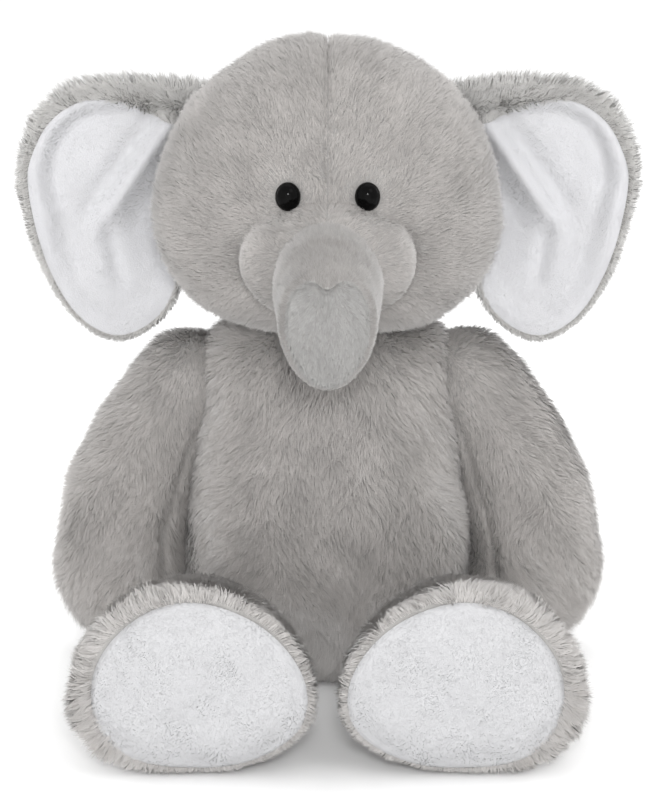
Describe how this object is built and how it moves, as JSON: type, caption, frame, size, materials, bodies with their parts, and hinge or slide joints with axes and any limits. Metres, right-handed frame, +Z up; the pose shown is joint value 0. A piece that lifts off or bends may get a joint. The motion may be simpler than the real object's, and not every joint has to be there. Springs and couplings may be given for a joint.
{
  "type": "stuffed elephant",
  "caption": "Seated plush elephant with soft grey fur, white ear linings and soles, a short hanging trunk and jointed sewn limbs.",
  "frame": {"origin": "centre of the flat seat panel, on the surface that the toy sits on", "axes": "+Z up, the face looks along -Y, +X towards the toy's own left side"},
  "size_m": [0.299, 0.2786, 0.3102],
  "materials": {
    "grey_plush": "long-pile plush, brushed",
    "short_plush": "shorter pile of the trunk's end",
    "white_velboa": "short-pile white plush",
    "wadding": "polyester fibre",
    "eye_black": "polished",
    "washer_plastic": "natural moulded plastic",
    "seam_thread": "drawn-up polyester thread",
    "label_tape": "blank satin tape"
  },
  "bodies": {
    "torso": {"torso_front": "grey_plush", "torso_back_left": "grey_plush", "torso_back_right": "grey_plush", "seat_panel": "grey_plush", "torso_stuffing": "wadding", "care_label": "label_tape"},
    "neck": {"neck_plug": "wadding", "neck_seam": "seam_thread"},
    "head": {"head_panel_left": "grey_plush", "head_panel_right": "grey_plush", "muzzle_panel": "grey_plush", "head_stuffing": "wadding", "eye_left": "eye_black", "eye_right": "eye_black", "eye_washer_left": "washer_plastic", "eye_washer_right": "washer_plastic"},
    "trunk": {"trunk_panel_left": "grey_plush", "trunk_panel_right": "grey_plush", "trunk_end": "short_plush", "trunk_stuffing": "wadding"},
    "ear_left": {"ear_back_left": "grey_plush", "ear_wadding_left": "wadding", "ear_lining_left": "white_velboa"},
    "ear_right": {"ear_back_right": "grey_plush", "ear_wadding_right": "wadding", "ear_lining_right": "white_velboa"},
    "shoulder_left": {"arm_seam_left": "seam_thread"},
    "arm_left": {"arm_outer_left": "grey_plush", "arm_inner_left": "grey_plush", "arm_stuffing_left": "wadding"},
    "shoulder_right": {"arm_seam_right": "seam_thread"},
    "arm_right": {"arm_outer_right": "grey_plush", "arm_inner_right": "grey_plush", "arm_stuffing_right": "wadding"},
    "hip_left": {"leg_seam_left": "seam_thread"},
    "leg_left": {"leg_skin_left": "grey_plush", "foot_sole_left": "white_velboa", "leg_stuffing_left": "wadding"},
    "hip_right": {"leg_seam_right": "seam_thread"},
    "leg_right": {"leg_skin_right": "grey_plush", "foot_sole_right": "white_velboa", "leg_stuffing_right": "wadding"},
    "tail": {"tail_skin": "grey_plush", "tail_tuft": "grey_plush"}
  },
  "joints": [
    {"name": "head_turn", "type": "hinge", "parent": "torso", "child": "neck", "pos_m": [0, 0, 0.171], "axis": [0, 0, 1], "range_deg": [-25, 25], "stiffness_Nm_per_rad": 0.6},
    {"name": "head_nod", "type": "hinge", "parent": "neck", "child": "head", "pos_m": [0, 0, 0.171], "axis": [1, 0, 0], "range_deg": [-10, 10], "stiffness_Nm_per_rad": 0.9},
    {"name": "trunk_lift", "type": "hinge", "parent": "head", "child": "trunk", "pos_m": [0, -0.1031, 0.21103], "axis": [-1, 0, 0], "range_deg": [-5, 25], "stiffness_Nm_per_rad": 0.08},
    {"name": "ear_flap_left", "type": "hinge", "parent": "head", "child": "ear_left", "pos_m": [0.0805, 0.018, 0.25203], "axis": [-0.2272, 0, 0.9738], "range_deg": [-20, 15], "stiffness_Nm_per_rad": 0.04},
    {"name": "ear_flap_right", "type": "hinge", "parent": "head", "child": "ear_right", "pos_m": [-0.0805, 0.018, 0.25203], "axis": [-0.2272, 0, -0.9738], "range_deg": [-20, 15], "stiffness_Nm_per_rad": 0.04},
    {"name": "arm_swing_left", "type": "hinge", "parent": "torso", "child": "shoulder_left", "pos_m": [0.07701, 0.002, 0.14482], "axis": [1, 0, 0], "range_deg": [0, 25], "stiffness_Nm_per_rad": 0.25},
    {"name": "arm_raise_left", "type": "hinge", "parent": "shoulder_left", "child": "arm_left", "pos_m": [0.07701, 0.002, 0.14482], "axis": [-0.7071, -0.7071, 0], "range_deg": [0, 55], "stiffness_Nm_per_rad": 0.25},
    {"name": "arm_swing_right", "type": "hinge", "parent": "torso", "child": "shoulder_right", "pos_m": [-0.07701, 0.002, 0.14482], "axis": [1, 0, 0], "range_deg": [0, 25], "stiffness_Nm_per_rad": 0.25},
    {"name": "arm_raise_right", "type": "hinge", "parent": "shoulder_right", "child": "arm_right", "pos_m": [-0.07701, 0.002, 0.14482], "axis": [-0.7071, 0.7071, 0], "range_deg": [0, 55], "stiffness_Nm_per_rad": 0.25},
    {"name": "leg_splay_left", "type": "hinge", "parent": "torso", "child": "hip_left", "pos_m": [0.06315, -0.07152, 0.033], "axis": [0, 0, 1], "range_deg": [-3, 15], "stiffness_Nm_per_rad": 0.4},
    {"name": "leg_lift_left", "type": "hinge", "parent": "hip_left", "child": "leg_left", "pos_m": [0.06315, -0.07152, 0.033], "axis": [-1, 0, 0], "range_deg": [0, 30], "stiffness_Nm_per_rad": 0.4},
    {"name": "leg_splay_right", "type": "hinge", "parent": "torso", "child": "hip_right", "pos_m": [-0.06315, -0.07152, 0.033], "axis": [0, 0, -1], "range_deg": [-3, 15], "stiffness_Nm_per_rad": 0.4},
    {"name": "leg_lift_right", "type": "hinge", "parent": "hip_right", "child": "leg_right", "pos_m": [-0.06315, -0.07152, 0.033], "axis": [-1, 0, 0], "range_deg": [0, 30], "stiffness_Nm_per_rad": 0.4},
    {"name": "tail_wag", "type": "hinge", "parent": "torso", "child": "tail", "pos_m": [0, 0.0661, 0.03], "axis": [0, 0, 1], "range_deg": [-20, 20], "stiffness_Nm_per_rad": 0.02}
  ]
}
